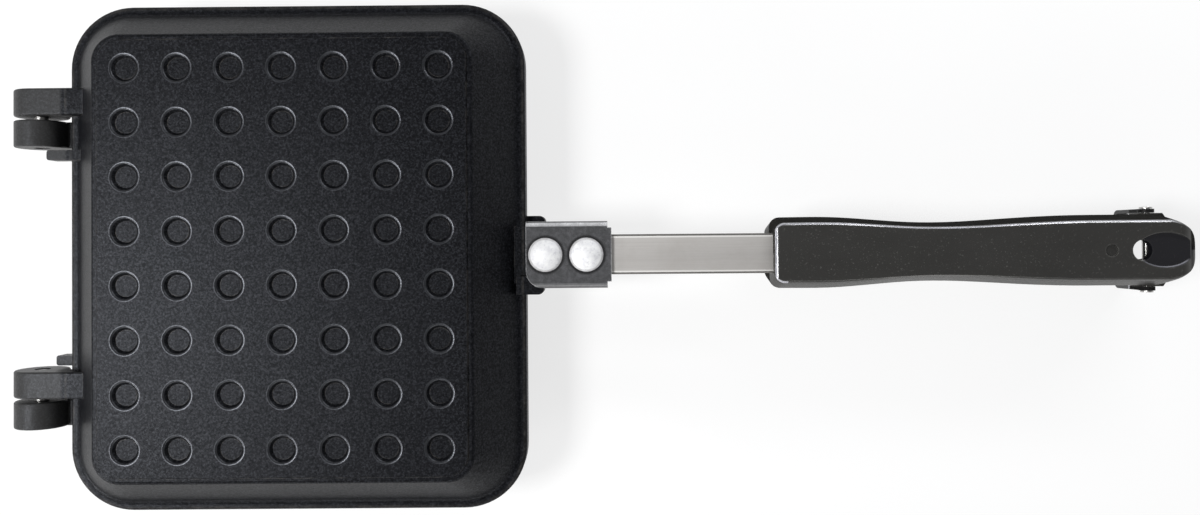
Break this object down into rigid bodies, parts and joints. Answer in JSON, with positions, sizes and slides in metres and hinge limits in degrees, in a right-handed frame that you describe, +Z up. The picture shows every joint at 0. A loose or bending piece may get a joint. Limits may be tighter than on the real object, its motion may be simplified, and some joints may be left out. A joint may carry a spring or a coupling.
{
  "type": "stovetop sandwich maker",
  "caption": "Two hinged square pans with dimpled outer panels, each on a bracket, bar and grip, held shut by a clip at the grips' ends.",
  "frame": {"origin": "middle of the lower pan's outer panel, on the surface that the closed maker rests on", "axes": "+X along the handle towards the grips' ends, +Z up, from the lower pan to the upper pan"},
  "size_m": [0.3682, 0.157, 0.038],
  "materials": {
    "pan_coating": "cast aluminium with a black non-stick coat",
    "bracket_coating": "dark grey coated sheet",
    "bar_steel": "brushed",
    "rivet_metal": "satin",
    "pin_steel": "plain",
    "grip_plastic": "moulded, slightly grained",
    "clip_plastic": "moulded"
  },
  "bodies": {
    "lower_half": {"lower_pan": "pan_coating", "left_hinge_pin": "pin_steel", "lower_bracket": "bracket_coating", "lower_handle_bar": "bar_steel", "lower_front_rivet": "rivet_metal", "lower_rear_rivet": "rivet_metal", "lower_grip": "grip_plastic", "lower_grip_screw": "pin_steel", "latch_pin": "pin_steel"},
    "upper_half": {"upper_pan": "pan_coating", "right_hinge_pin": "pin_steel", "upper_bracket": "bracket_coating", "upper_handle_bar": "bar_steel", "upper_front_rivet": "rivet_metal", "upper_rear_rivet": "rivet_metal", "upper_grip": "grip_plastic", "upper_grip_screw": "pin_steel"},
    "latch": {"latch_clip": "clip_plastic"}
  },
  "joints": [
    {"name": "pan_hinge", "type": "hinge", "parent": "lower_half", "child": "upper_half", "pos_m": [-0.0819, 0, 0.019], "axis": [0, -1, 0], "range_deg": [0, 180]},
    {"name": "latch_pivot", "type": "hinge", "parent": "lower_half", "child": "latch", "pos_m": [0.2675, 0, 0.016], "axis": [0, -1, 0], "range_deg": [-50, 180]}
  ]
}
